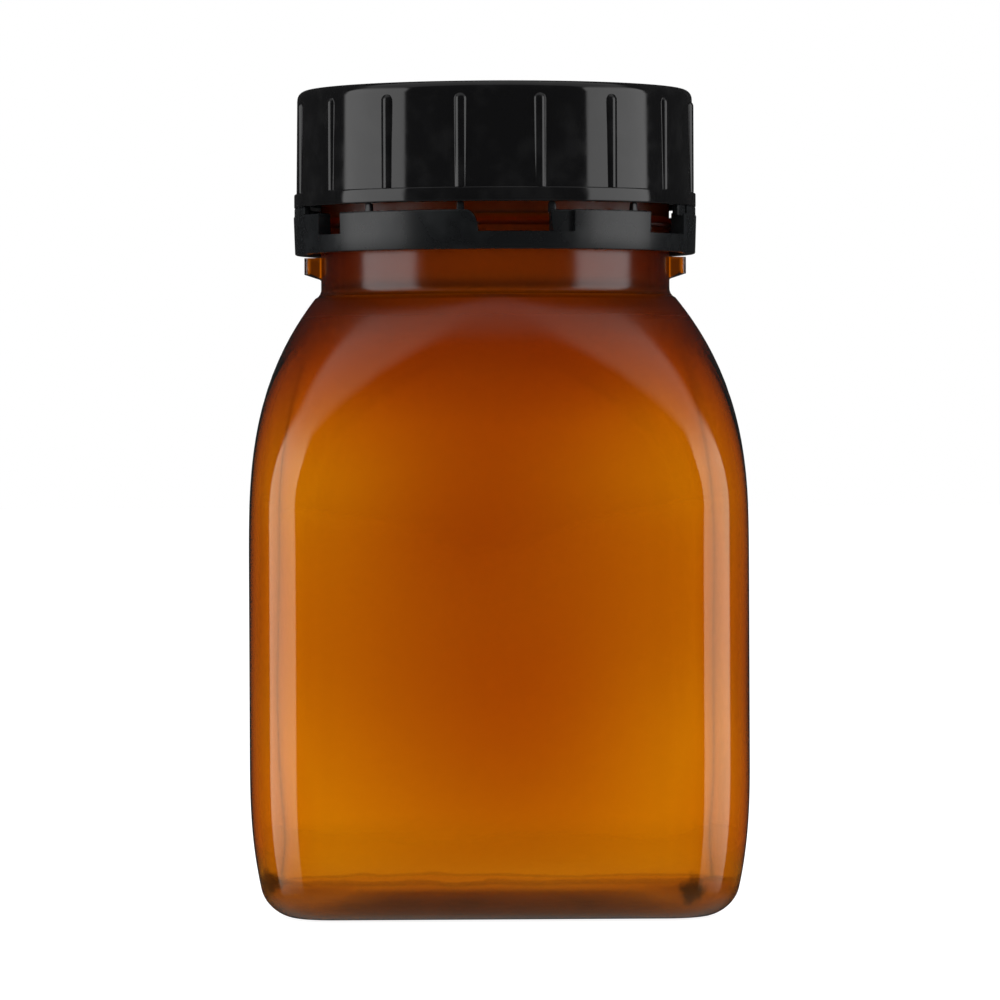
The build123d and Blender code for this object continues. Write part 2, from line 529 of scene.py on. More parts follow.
    def tint(self, shader: Shader, place: Place) -> Socket:
        """Tint of the surface.

        Args:
            shader: Node tree it belongs to.
            place: Object coordinates.

        Returns:
            The tint, built up from the sides to the foot, the neck and the edges seen aslant, with painted
            shade low down, at the crease, the bead, the lugs' roots, the finish and the edges.
        """
        x, y, z = place
        nearer = shader.math("MINIMUM", shader.absolute(x), shader.absolute(y))
        sideways = shader.ramp(nearer, 0.0, self.half_width)
        uneven = shader.plus(z, shader.wobble(*self.uneven))
        delayed = shader.less(z, shader.times(sideways, self.side_delay))
        outward = shader.absolute(x)
        root = shader.times(shader.ramp(outward, *self.root_start), shader.band(z, *self.lugs))
        edge = shader.node("LayerWeight")
        edge.inputs["Blend"].default_value = 0.5
        facing = edge.outputs["Facing"]
        at_neck = shader.times(shader.ramp(z, *self.neck), shader.ramp(facing, *self.neck_rim))
        body = shader.blend(self.thickness(shader, nearer, sideways, z), self.clear_tint, self.thick_tint)
        for share, colour in (
            (shader.fall(z, *self.heel), self.heel_tint),
            (shader.fall(uneven, *self.low_shade_heights), self.painted_low_shade),
            (shader.times(shader.band(uneven, *self.shade_line_band), self.shade_line_share), self.painted_shade_line),
            (shader.fall(z, *self.bottom), self.painted_foot_shade),
            *((spot, self.dark_spot_tint) for spot in self.dark_spot_masks(shader, place)),
            (shader.ramp(delayed, *self.shoulder), self.shoulder_tint),
            (shader.ramp(z, *self.crease), self.painted_crease_shade),
            (shader.ramp(z, *self.neck), self.neck_tint_and_shade),
            (shader.ramp(z, *self.threaded), self.painted_finish_shade),
            (shader.band(z, *self.line), self.painted_crease_line),
            (shader.band(z, *self.bead), self.painted_bead_shade),
            (shader.times(root, shader.fall(outward, *self.root_end)), self.painted_lug_outline),
            (shader.greatest(shader.ramp(facing, *self.rim), at_neck), self.painted_edge_shade),
        ):
            body = shader.blend(share, body, colour)
        return body

    def thickness(self, shader: Shader, nearer: Socket, sideways: Socket, z: Socket) -> Socket:
        """Share of the thick tint on the sides.

        Args:
            shader: Node tree it belongs to.
            nearer: Distance to the nearer of the middle planes, in metres.
            sideways: The same as a share of the half width.
            z: Height, in metres.

        Returns:
            The share, less towards a side's edges, at its foot and where the shoulder starts.
        """
        side = shader.times(sideways, self.off_edges)
        side = shader.plus(side, shader.times(shader.ramp(nearer, *self.corner), self.off_corners))
        foot = shader.times(shader.fall(z, *self.foot), self.off_foot)
        thick = shader.less(shader.less(self.middle, side), foot)
        thick = shader.plus(thick, shader.wobble(*self.cloud))
        height, least, most = self.bulge
        thinner = shader.plus(shader.times(sideways, self.off_bulge_edges), self.off_bulge)
        off = shader.absolute(shader.less(z, height))
        thick = shader.less(thick, shader.times(shader.fall(off, least, most), thinner))
        held = shader.node("Clamp")
        shader.link(thick, held.inputs[0])
        return held.outputs[0]

    def dark_spot_masks(self, shader: Shader, place: Place) -> list[Socket]:
        """Masks of the dark spots at the two bottom corners of the front.

        Args:
            shader: Node tree they belong to.
            place: Object coordinates.

        Returns:
            One mask for each.
        """
        x, y, z = place
        ragged = shader.wobble(*self.ragged)
        front = shader.fall(y, *self.front)
        masks = []
        for across, height, size in self.dark_spots:
            off = shader.plus(shader.distance(shader.less(x, across), shader.less(z, height)), ragged)
            masks.append(shader.times(shader.fall(off, size * self.dark_spot_core, size), front))
        return masks

    def haze(self, shader: Shader, place: Place) -> Socket:
        """Roughness of the surface.

        Args:
            shader: Node tree it belongs to.
            place: Object coordinates.

        Returns:
            The roughness, greater at the crease, inside the neck, on the finish and at the bottom edge.
        """
        x, y, z = place
        bore = shader.times(shader.fall(shader.distance(x, y), *self.bore), shader.ramp(z, *self.bore_foot))
        haze = shader.times(shader.ramp(z, *self.hazed), self.crease_roughness - self.roughness)
        for part, further in (
            (shader.ramp(z, *self.above), self.neck_roughness - self.crease_roughness),
            (bore, self.bore_roughness),
            (shader.ramp(z, *self.threaded), self.finish_roughness),
            (shader.fall(z, *self.pooled), self.heel_roughness),
        ):
            haze = shader.plus(haze, shader.times(part, further))
        return shader.plus(haze, self.roughness)


@dataclass(frozen=True)
class BlackPlastic:
    """Gloss black moulded plastic with a faint haze and a trace of surface ripple."""

    name: str = "black_plastic"
    colour: Colour = (0.0075, 0.0075, 0.008, 1.0)
    haze: Colour = (0.013, 0.013, 0.0135, 1.0)
    roughness: float = 0.07
    roughness_spread: float = 0.04
    ripple: float = 0.05
    index: float = 1.49
    patches: Pair = (0.45, 0.7)  # noise between which the haze comes in
    ripple_depth: float = 0.00002

    def make(self) -> bpy.types.Material:
        """Builds the material.

        Returns:
            The material.
        """
        shader = Shader(self.name)
        patches = shader.ramp(shader.noise(260.0, 4.0), *self.patches)
        skin = shader.node("BsdfPrincipled")
        skin.inputs["IOR"].default_value = self.index
        shader.link(shader.blend(patches, self.colour, self.haze), skin.inputs["Base Color"])
        rougher = shader.times(patches, self.roughness_spread)
        shader.link(shader.plus(rougher, self.roughness), skin.inputs["Roughness"])
        ripple = shader.bump(shader.noise(900.0, 3.0), self.ripple_depth, self.ripple)
        shader.link(ripple, skin.inputs["Normal"])
        shader.link(skin.outputs[0], shader.output.inputs["Surface"])
        return shader.material


@dataclass(frozen=True)
class SatinBlackPlastic(BlackPlastic):
    """The band's softer black, a trace bluer than the cap's."""

    name: str = "satin_black_plastic"
    colour: Colour = (0.0095, 0.0105, 0.0115, 1.0)
    haze: Colour = (0.014, 0.0155, 0.017, 1.0)
    roughness: float = 0.27
    roughness_spread: float = 0.08
    ripple: float = 0.12


@dataclass(frozen=True)
class LinerFoam:
    """Off-white foamed sheet with fine cells."""

    name: str = "liner_plastic"
    colour: Colour = (0.80, 0.79, 0.76, 1.0)
    shade: Colour = (0.68, 0.67, 0.64, 1.0)
    roughness: float = 0.6
    cells: Pair = (0.35, 0.65)  # noise between which a cell's shade goes
    cell_depth: float = 0.00004

    def make(self) -> bpy.types.Material:
        """Builds the material.

        Returns:
            The material.
        """
        shader = Shader(self.name)
        cells = shader.noise(2600.0, 3.0)
        skin = shader.node("BsdfPrincipled")
        skin.inputs["Roughness"].default_value = self.roughness
        colour = shader.blend(shader.ramp(cells, *self.cells), self.shade, self.colour)
        shader.link(colour, skin.inputs["Base Color"])
        shader.link(shader.bump(cells, self.cell_depth, 0.35), skin.inputs["Normal"])
        shader.link(skin.outputs[0], shader.output.inputs["Surface"])
        return shader.material


# ---------------------------------------------------------------- bottle


@dataclass
class Bottle:
    """Blown square body, shoulder and threaded neck, as one skin with real walls."""

    half_width: float = 31.0
    corner: float = 10.7
    wall: float = 1.0
    heel_wall: float = 0.5  # the wall is thinnest at the bottom edge
    heel_thins: float = 10.0  # below this height
    floor_wall: float = 1.5
    heel_height: float = 20.0
    heel_inset: float = 2.35
    heel_power: float = 2.7
    heel_round: float = 3.5
    land_width: float = 2.6
    push_up: float = 1.8
    push_up_slope: float = 4.5
    shoulder_start: float = 42.0
    shoulder_power: float = 3.2
    corner_start: float = 50.0
    corner_power: float = 2.05
    shoulder_top: float = 77.1
    inner_slope: float = 0.72  # how fast the inside draws in where it meets the bore
    inner_blend: float = 2.4
    neck_radius: float = 22.15
    neck_wall: float = 1.45
    flare_radius: float = 1.3
    flare_turn: float = 62.5  # degrees of the flare's arc
    root_radius: float = 22.9
    lip: float = 100.9
    bead_bottom: float = 85.8
    bead_radius: float = 23.4
    bead_edge: float = 0.4
    bead_slope: float = 0.9
    lug_radius: float = 24.27
    lug_half: float = 1.3
    lug_top: float = 82.25
    lug_height: float = 2.9
    lug_rise: float = 0.8
    thread: Thread = field(
        default_factory=lambda: Thread(start=90.7, begin=0.08, turns=1.75, depth=0.95, root=2.0, crest=0.8)
    )

    def columns(self) -> list[float]:
        """Directions of the columns of vertices: close together at the corners and at the lugs.

        Returns:
            The directions, in radians.
        """
        quarter = spread(0, 28, 10) + spread(28, 62, 34)[1:] + spread(62, 90, 10)[1:-1]
        around = {round(90 * k + a, 4) for k in range(4) for a in quarter}
        for side in (90.0, 270.0):
            around = {a for a in around if abs(a - side) > 4.5}
            steps = (0, 0.8, 1.5, 2.1, 2.5, 2.75, 2.92, 3.02, 3.07, 3.2, 4.4)
            around |= {round(side + sign * a, 4) for a in steps for sign in (-1, 1)}
        return [math.radians(a) for a in sorted(around)]

    def shoulder_section(self, height: float, half: float, corner: float, top: float) -> Section:
        """Section of the shoulder, whose flats and corners draw in along curves of their own.

        Args:
            height: Height of the section.
            half: Half width of the body below.
            corner: Corner radius of the body below.
            top: Radius at the shoulder's top.

        Returns:
            The section.
        """
        flat_share = clamp((height - self.shoulder_start) / (self.shoulder_top - self.shoulder_start))
        corner_share = clamp((height - self.corner_start) / (self.shoulder_top - self.corner_start))
        flat = half - (half - top) * flat_share**self.shoulder_power
        full = math.sqrt(2) * (half - corner) + corner
        diagonal = full - (full - top) * corner_share**self.corner_power
        radius = (math.sqrt(2) * flat - diagonal) / (math.sqrt(2) - 1)
        return Section(flat, radius, height)

    def heel_section(self, height: float, half: float, corner: float, inset: float = 0.0) -> Section:
        """Section of the lower body, which draws in towards the base."""
        inset += self.heel_inset * clamp(1 - height / self.heel_height) ** self.heel_power
        return Section(half - inset, corner - inset, height)

    def shoulder_heights(self) -> list[float]:
        """Heights of the shoulder's rings, closer together towards the neck."""
        shares = [1 - (1 - share) ** 1.25 for share in spread(0, 1, 56)]
        return [mix(self.shoulder_start, self.shoulder_top, share) for share in shares]

    def base(self) -> list[Ring]:
        """Rings of the underside: gate mark, raised middle and flat land."""
        low = self.half_width - self.heel_inset - self.heel_round - self.land_width
        top = low - self.push_up_slope
        rings: list[Ring] = [level(0.9, 1.55), level(1.25, 1.6), level(1.45, 1.85), level(1.7, 1.98)]
        rings += [Section(r, r, 1.98) for r in (4.0, 8.0)]
        rings += [Section(12, 10, 1.97), Section(15.5, 8, 1.94), Section(top - 0.6, 5.6, 1.88)]
        rings += [Section(top, 5.4, 1.78), Section(top + 0.7, 5.4, 1.58)]
        rings += [Section(low - 0.8, 5.4, 0.24), Section(low - 0.2, 5.4, 0.07), Section(low + 0.5, 5.6, 0.0)]
        return rings + [Section(low + self.land_width / 2, 5.2, 0.0)]

    def outer_body(self) -> list[Ring]:
        """Rings of the heel, the upright sides and the shoulder."""
        rings: list[Ring] = []
        for angle in spread(0, math.pi / 2, 12):
            height = self.heel_round * (1 - math.cos(angle))
            inset = self.heel_round * (1 - math.sin(angle))
            rings.append(self.heel_section(height, self.half_width, self.corner, inset))
        for height in spread(self.heel_round, self.heel_height, 16)[1:]:
            rings.append(self.heel_section(height, self.half_width, self.corner))
        for height in spread(self.heel_height, self.shoulder_start, 7)[1:-1]:
            rings.append(Section(self.half_width, self.corner, height))
        top = self.root_radius
        for height in self.shoulder_heights():
            rings.append(self.shoulder_section(height, self.half_width, self.corner, top))
        return rings

    def neck_ring(self, radius: float, height: float) -> Ring:
        """Ring of the neck with its lugs and its thread."""

        def ring(angle: float) -> Pair:
            stand = self.thread.push(angle, height) if height > self.bead_bottom + 2 else 0.0
            return max(radius + stand, self.lug_reach(angle, height)), height

        return ring

    def lug_reach(self, angle: float, height: float) -> float:
        """Radius of the lugs in one direction, or 0 beside them."""
        bottom = self.lug_top - self.lug_height
        if not bottom < height < self.lug_top:
            return 0.0
        across = abs(math.remainder(angle - math.pi / 2, math.pi)) * self.lug_radius
        rounded = max(1 - (across / self.lug_half) ** 4, 0.0) ** 0.25
        risen = clamp((height - bottom) / self.lug_rise)
        return mix(self.neck_radius - 0.3, self.lug_radius, rounded * risen)

    def outer_neck(self) -> list[Ring]:
        """Rings of the flared root, the lugs, the retaining bead and the threaded finish."""
        rings: list[Ring] = []
        start = self.shoulder_top + 1.15
        for angle in spread(math.radians(self.flare_turn), 0, 8)[1:]:
            radius = self.neck_radius + self.flare_radius * (1 - math.cos(angle))
            rings.append(level(radius, start - self.flare_radius * math.sin(angle)))
        bottom = self.lug_top - self.lug_height
        heights = [bottom, *spread(bottom + 0.02, bottom + self.lug_rise, 6), bottom + 1.5]
        heights += [self.lug_top - 0.5, self.lug_top - 0.1, self.lug_top - 0.01, self.lug_top + 0.01]
        rings += [self.neck_ring(self.neck_radius, height) for height in heights]
        bead = self.bead_bottom + self.bead_edge
        for radius, height in (
            (self.neck_radius, 83.6),
            (self.neck_radius, self.bead_bottom - 0.1),
            (self.neck_radius + 0.1, self.bead_bottom),
            (self.bead_radius - 0.1, self.bead_bottom),
            (self.bead_radius, self.bead_bottom + 0.1),
            (self.bead_radius, bead - 0.05),
            (self.bead_radius - 0.1, bead + 0.05),
            (self.neck_radius + 0.12, bead + self.bead_slope - 0.1),
            (self.neck_radius, bead + self.bead_slope + 0.05),
        ):
            rings.append(level(radius, height))
        top = self.lip - 0.5
        rings += [self.neck_ring(self.neck_radius, z) for z in spread(88.2, top, 52)]
        for angle in spread(0, math.pi / 2, 4)[1:]:
            radius = self.neck_radius - 0.4 * (1 - math.cos(angle))
            rings.append(level(radius, self.lip - 0.4 + 0.4 * math.sin(angle)))
        return rings

    def inner_ring(self, section: Section, least: float = 0.0, blend: float = 1.0) -> Ring:
        """Ring of the inside, with the slight unevenness of a blown wall.

        Args:
            section: Its section.
            least: Radius that the ring never draws in past, such as the bore's.
            blend: Distance over which it runs into that radius.

        Returns:
            The ring.
        """

        def ring(angle: float) -> Pair:
            wave = 0.035 * math.sin(4 * angle + section.height * 0.21)
            wave += 0.025 * math.sin(7 * angle - section.height * 0.13)
            above = max(section.height - self.shoulder_top, 0.0)
            reach = section.reach(angle) + wave - self.inner_slope * above
            return (soft_most(least, reach, blend) if least else reach), section.height

        return ring

    def inside(self) -> list[Ring]:
        """Rings of the bore, the inner shoulder, the inner body and the floor."""
        bore = self.neck_radius - self.neck_wall
        rings: list[Ring] = [level(bore + 0.25, self.lip), level(bore, self.lip - 0.25)]
        rings += [level(bore, z) for z in spread(self.lip - 2, self.shoulder_top + 5, 8)]
        half, corner = self.half_width - self.wall, self.corner - self.wall
        heights = self.shoulder_heights() + spread(self.shoulder_top, self.shoulder_top + 4.5, 12)[1:]
        for height in reversed(heights):
            section = self.shoulder_section(height, half, corner, bore + 0.15)
            rings.append(self.inner_ring(section, bore, self.inner_blend))
        for height in reversed(spread(self.heel_height, self.shoulder_start, 7)[1:-1]):
            rings.append(self.inner_ring(Section(half, corner, height)))
        edge, foot = self.heel_round - self.heel_wall, self.heel_wall
        for height in reversed(spread(foot + edge, self.heel_height, 20)):
            rings.append(self.inner_ring(self.inner_heel(height)))
        for angle in reversed(spread(0, math.pi / 2, 10)[:-1]):
            height = foot + edge * (1 - math.cos(angle))
            rings.append(self.inner_ring(self.inner_heel(height, edge * (1 - math.sin(angle)))))
        low = self.half_width - self.heel_inset - self.heel_round - self.land_width + 0.6
        top, rise = low - self.push_up_slope - 0.6, self.floor_wall + self.push_up
        floor = [Section(low + 1.4, 6.3, foot + 0.03), Section(low + 0.2, 6.3, foot + 0.08)]
        floor += [Section(low - 0.5, 6.2, foot + 0.25)]
        floor += [Section(mix(low, top, 0.5), 6.3, mix(foot, rise, 0.5))]
        rings += [self.floor_ring(section) for section in floor]
        rings += [Section(top + 0.8, 6.4, rise - 0.35)]
        rings += [Section(top, 6.6, rise - 0.08), Section(top - 0.8, 6.8, rise), Section(14, 8, rise + 0.05)]
        return rings + [Section(r, r, rise + 0.08) for r in (8.0, 4.0, 1.2, 0.6)]

    def floor_ring(self, section: Section) -> Ring:
        """Ring of the inner floor, which is uneven where the plastic pools."""

        def ring(angle: float) -> Pair:
            wave = 0.12 * math.sin(5 * angle + 0.7) + 0.08 * math.sin(13 * angle)
            wave += 0.05 * math.sin(23 * angle + 2)
            return section.reach(angle), section.height + wave + 0.1

        return ring

    def inner_heel(self, height: float, inset: float = 0.0) -> Section:
        """Section of the inside of the heel, whose wall thins towards the bottom edge.

        Args:
            height: Height of the section.
            inset: How far the rounding of the bottom edge draws it in.

        Returns:
            The section.
        """
        share = ease((height - self.heel_round) / (self.heel_thins - self.heel_round))
        wall = mix(self.heel_wall, self.wall, share)
        return self.heel_section(height, self.half_width - wall, self.corner - wall, inset)

    def build(self, finish: bpy.types.Material) -> bpy.types.Object:
        """Makes the bottle in place of its solid.

        Args:
            finish: The amber plastic.

        Returns:
            The piece.
        """
        skin = Tube(self.columns(), level(0.4, 1.53))
        skin.grow_all(self.base() + self.outer_body() + self.outer_neck() + self.inside())
        piece = finished(skin.close(), "bottle_skin", Body.BOTTLE, finish)
        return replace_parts(piece, "bottle")


# ---------------------------------------------------------------- cap


@dataclass
class ScrewCap:
    """Cap with a flat top, a ribbed skirt, a plain flange and an inner thread."""

    top: float = 103.4
    ceiling: float = 101.9
    mouth: float = 88.5
    flange_top: float = 90.3
    radius_top: float = 25.08
    radius_base: float = 25.23
    top_round: float = 1.15
    flange_radius: float = 25.53
    flange_edge: float = 0.2  # rounding of the flange's edges
    bore: float = 23.78
    mouth_chamfer: float = 0.4
    ribs: int = 16
    first_rib: float = 11.95
    rib_radius: float = 0.85
    rib_crest: float = 25.52
    rib_end: float = 101.1  # height of the middle of a rib's rounded end
    rib_fillet: float = 0.1
    thread: Thread = field(
        default_factory=lambda: Thread(start=88.9, begin=0.33, turns=2.0, depth=0.95, root=1.9, crest=0.7)
    )

    def columns(self) -> list[float]:
        """Directions of the columns of vertices, close together at each rib.

        Returns:
            The directions, in radians.
        """
        offsets = (0, 0.35, 0.7, 0.95, 1.15, 1.3, 1.42, 1.54, 1.66, 1.8, 2.1, 2.9, 4.6, 6.8, 9.1, 11.25)
        pitch = 360 / self.ribs
        around = set()
        for rib in range(self.ribs):
            for offset in offsets:
                for sign in (-1, 1):
                    around.add(round((self.first_rib + rib * pitch + sign * offset) % 360, 4))
        return [math.radians(angle) for angle in sorted(around)]

    def skirt_ring(self, height: float) -> Ring:
        """Ring of the skirt with its ribs."""
        share = clamp((self.top - height) / (self.top - self.flange_top))
        skirt = mix(self.radius_top, self.radius_base, share)
        centre = self.rib_crest - self.rib_radius
        pitch = math.tau / self.ribs
        above = max(height - self.rib_end, 0.0)

        def ring(angle: float) -> Pair:
            turn = math.remainder(angle - math.radians(self.first_rib), pitch)
            room = self.rib_radius**2 - above**2 - (centre * math.sin(turn)) ** 2
            if room <= 0:
                return skirt, height
            crest = centre * math.cos(turn) + math.sqrt(room)
            return soft_most(skirt, crest, self.rib_fillet), height

        return ring

    def crown(self) -> list[Ring]:
        """Rings of the flat top and its rounded edge."""
        gate = ((1.0, 0.2), (1.3, 0.15), (1.5, 0.03), (1.7, 0.0))  # radius and depth of its dimple
        rings: list[Ring] = [level(radius, self.top - depth) for radius, depth in gate]
        flat = self.radius_top - self.top_round
        rings += [level(r, self.top) for r in (6, 12, 18, flat - 0.6, flat)]
        for angle in spread(0, math.pi / 2, 9)[1:]:
            radius = flat + self.top_round * math.sin(angle)
            rings.append(level(radius, self.top - self.top_round * (1 - math.cos(angle))))
        return rings

    def skirt(self) -> list[Ring]:
        """Rings of the ribbed skirt and the flange below it."""
        heights = spread(self.top - self.top_round - 0.1, self.rib_end - 0.1, 16)
        heights += spread(self.rib_end - 0.1, self.flange_top + 0.1, 10)[1:]
        rings = [self.skirt_ring(height) for height in heights]
        rings.append(self.skirt_ring(self.flange_top))
        edge, radius = self.flange_edge, self.flange_radius
        for angle in spread(0, math.pi / 2, 4):
            reach = radius - edge * (1 - math.sin(angle))
            rings.append(level(reach, self.flange_top - edge * (1 - math.cos(angle))))
        for angle in spread(0, math.pi / 2, 4):
            reach = radius - edge * (1 - math.cos(angle))
            rings.append(level(reach, self.mouth + edge * (1 - math.sin(angle))))
        return rings + [level(radius - 0.4, self.mouth), level(self.bore + self.mouth_chamfer, self.mouth)]

    def inside(self) -> list[Ring]:
        """Rings of the bore with its thread, and of the ceiling."""

        def ring_at(height: float) -> Ring:
            return lambda angle: (self.bore - self.thread.push(angle, height), height)

        rings = [ring_at(z) for z in spread(self.mouth + self.mouth_chamfer, self.ceiling - 0.5, 46)]
        rings += [level(self.bore - 0.05, self.ceiling - 0.2), level(self.bore - 0.3, self.ceiling)]
        return rings + [level(r, self.ceiling) for r in (18, 10, 4, 1.5)]

    def build(self, finish: bpy.types.Material) -> bpy.types.Object:
        """Makes the cap in place of its solid.

        Args:
            finish: The black plastic.

        Returns:
            The piece.
        """
        skin = Tube(self.columns(), level(0.5, self.top - 0.2))
        skin.grow_all(self.crown() + self.skirt() + self.inside())
        piece = finished(skin.close(), "cap_skin", Body.CAP, finish)
        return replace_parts(piece, "screw_cap")


# ---------------------------------------------------------------- tamper band


@dataclass
class TamperBand:
    """Ring below the cap with upright tabs between windows, a hook inside and thin bridges on top."""

    top: float = 87.5
    bottom: float = 82.6
    ring_top: float = 84.8
    radius_top: float = 25.6
    radius_bottom: float = 25.45
    inner: float = 23.9
    hook_radius: float = 22.5
    hook_thickness: float = 0.8
    hook_slope: float = 0.7
    edge: float = 0.18
    windows: tuple[Pair, ...] = ((-5.7, 15.3), (48.5, 67.0), (119.5, 130.0))
    panel: Pair = (15.3, 21.9)
    panel_depth: float = 0.7
    ramp_width: float = 1.5  # of the sloping end of the tab left of a front or back window
    bridge_angles: tuple[float, ...] = (15.9, 43.3, 78.0, 106.0, 139.9, 169.2)
    bridge_width: float = 1.0
    bridge_depth: float = 0.8
    bridge_face: float = 25.1
    cap_mouth: float = 88.5
    webs: tuple[Pair, ...] = ((63.2, 69.0), (70.6, 109.0))  # wider bridges at each side
    web_face: float = 25.5

    def stations(self) -> list[float]:
        """Directions of the band's profiles: even steps and close pairs at each end of a tab.

        Returns:
            The directions, in degrees.
        """
        ends = [angle + turn for turn in HALF_TURNS for window in self.windows for angle in window]
        ends += [self.panel[1] + turn for turn in HALF_TURNS]
        steps = (-0.5, -0.32, -0.18, -0.08, -0.02, 0.02, 0.08, 0.18, 0.32, 0.5)
        around = {round((end + step) % 360, 3) for end in ends for step in steps}
        ramps = [self.windows[0][0] + turn for turn in HALF_TURNS]
        around |= {round((end - step) % 360, 3) for end in ramps for step in spread(0.6, 3.6, 12)}
        even = {
            angle for angle in spread(0, 360, 180)[:-1]
            if all(abs(math.remainder(angle - close, 360)) > 0.6 for close in around)
        }
        return sorted(around | even)

    def lift(self, angle: float) -> float:
        """Height of the upright part over the ring in one direction.

        Args:
            angle: Direction, in degrees.

        Returns:
            The height in millimetres, just over 0 in a window.
        """
        full = self.top - self.ring_top
        for turn in HALF_TURNS:
            for start, end in self.windows:
                middle, half = (start + end) / 2 + turn, (end - start) / 2
                if abs(math.remainder(angle - middle, 360)) < half:
                    return 0.03
            past = -math.remainder(angle - self.windows[0][0] - turn, 360) * math.radians(1) * self.radius_top
            if 0 <= past < self.ramp_width:
                share = 1 - past / self.ramp_width
                return max(0.25, full * math.sqrt(max(1 - share * share, 0)))
        return full

    def in_panel(self, angle: float) -> bool:
        """Whether a direction, in degrees, lies in a recessed panel."""
        middle, half = sum(self.panel) / 2, (self.panel[1] - self.panel[0]) / 2
        return any(abs(math.remainder(angle - middle - turn, 360)) < half for turn in HALF_TURNS)

    def profile(self) -> list[Pair]:
        """Closed outline of the full band as radius and height, from the outer bottom edge upwards."""
        outer, step = self.radius_bottom, self.edge
        slope = self.ring_top - self.hook_thickness
        return [
            (outer - step, self.bottom),
            (outer - step * 0.3, self.bottom + step * 0.3),
            (outer, self.bottom + step),
            (outer + 0.07, self.ring_top),
            (outer + 0.07, self.ring_top + 0.004),
            (self.radius_top, self.top - step),
            (self.radius_top - step * 0.3, self.top - step * 0.3),
            (self.radius_top - step, self.top),
            (self.inner + 0.1, self.top),
            (self.inner, self.top - 0.1),
            (self.inner, self.ring_top + 0.004),
            (self.inner - 0.05, self.ring_top),
            (self.hook_radius + 0.1, self.ring_top),
            (self.hook_radius, self.ring_top - 0.1),
            (self.hook_radius, slope + 0.08),
            (self.hook_radius + 0.08, slope),
            (self.inner, slope - self.hook_slope),
            (self.inner, self.bottom + 0.1),
            (self.inner + 0.1, self.bottom),
        ]

    def shaped(self, co: Vector, angle: float) -> Pair:
        """Radius and height of a profile's point where the band stands lower or is recessed."""
        radius, height = co.xy.length / MM, co.z / MM
        if height <= self.ring_top + 0.002:
            return radius, height
        height = self.ring_top + (height - self.ring_top) * self.lift(angle) / (self.top - self.ring_top)
        if self.in_panel(angle) and radius > self.inner + 0.3:
            radius -= self.panel_depth
        return radius, height

    def ring(self) -> BMesh:
        """Spins the profile round the axis and lowers it in the windows."""
        stations = self.stations()
        mesh = bmesh.new()
        verts = [mesh.verts.new(Vector((0, -radius, height)) * MM) for radius, height in self.profile()]
        edges = [mesh.edges.new((a, b)) for a, b in zip(verts, verts[1:] + verts[:1])]
        bmesh.ops.spin(
            mesh, geom=verts + edges, cent=(0, 0, 0), axis=(0, 0, 1), angle=math.tau,
            steps=len(stations), use_merge=True,
        )
        for vert in mesh.verts:
            turn = math.atan2(vert.co.x, -vert.co.y) % math.tau
            angle = stations[round(turn / math.tau * len(stations)) % len(stations)]
            radius, height = self.shaped(vert.co, angle)
            angle = math.radians(angle)
            vert.co = Vector((radius * math.sin(angle), -radius * math.cos(angle), height)) * MM
        bmesh.ops.recalc_face_normals(mesh, faces=mesh.faces)
        return mesh

    def bridges(self) -> BMesh:
        """Makes the bridges, narrower at the top where they break."""
        mesh = bmesh.new()
        low, high = self.top - 0.35, self.cap_mouth - 0.01
        for turn in HALF_TURNS:
            for angle in self.bridge_angles:
                face = self.bridge_face - (self.panel_depth - 0.35 if angle == self.bridge_angles[0] else 0)
                made = bmesh.ops.create_cube(mesh, size=MM)["verts"]
                for vert in made:
                    narrow = 0.75 if vert.co.z > 0 else 1.0
                    vert.co.x *= self.bridge_width * narrow
                    vert.co.y *= self.bridge_depth * narrow
                    vert.co.z *= high - low
                middle = Vector((0, -(face - self.bridge_depth / 2), (low + high) / 2)) * MM
                bmesh.ops.translate(mesh, verts=made, vec=middle)
                turned = Matrix.Rotation(math.radians(angle + turn), 3, "Z")
                bmesh.ops.rotate(mesh, verts=made, cent=(0, 0, 0), matrix=turned)
        for turn in HALF_TURNS:
            for start, end in self.webs:
                self.add_web(mesh, start + turn, end + turn, low, high)
        sharp = [edge for edge in mesh.edges if edge.calc_face_angle(0.0) > math.radians(60)]
        bmesh.ops.bevel(
            mesh, geom=sharp, offset=0.12 * MM, offset_type="OFFSET", segments=2, profile=0.5,
            affect="EDGES", material=-1,
        )
        return mesh

    def add_web(self, mesh: BMesh, start: float, end: float, low: float, high: float) -> None:
        """Adds a wide bridge that follows the band round.

        Args:
            mesh: Mesh that it is added to.
            start: Angle where it begins, in degrees.
            end: Angle where it ends.
            low: Height of its foot.
            high: Height of its top.
        """
        inner = self.web_face - self.bridge_depth
        corners = ((self.web_face, low), (self.web_face, high), (inner, high), (inner, low))
        verts = [mesh.verts.new(Vector((0, -radius, height)) * MM) for radius, height in corners]
        turned = Matrix.Rotation(math.radians(start), 3, "Z")
        bmesh.ops.rotate(mesh, verts=verts, cent=(0, 0, 0), matrix=turned)
        face = mesh.faces.new(verts)
        made = bmesh.ops.spin(
            mesh, geom=[face, *face.edges, *verts], cent=(0, 0, 0), axis=(0, 0, 1),
            angle=math.radians(end - start), steps=max(2, round((end - start) / 2.5)), use_merge=False,
        )
        last = [item for item in made["geom_last"] if isinstance(item, bmesh.types.BMFace)]
        ends = verts + [vert for face in last for vert in face.verts]
        sides = {face for vert in ends for face in vert.link_faces}
        bmesh.ops.recalc_face_normals(mesh, faces=list(sides))

    def build(self, finish: bpy.types.Material) -> list[bpy.types.Object]:
        """Makes the band and its bridges in place of their solid.

        Args:
            finish: The black plastic.

        Returns:
            The pieces.
        """
        ring = finished(self.ring(), "band_ring", Body.BOTTLE, finish)
        bridges = finished(self.bridges(), "band_bridges", Body.BOTTLE, finish)
        return [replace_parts(ring, "tamper_band"), bridges]


# ---------------------------------------------------------------- liner


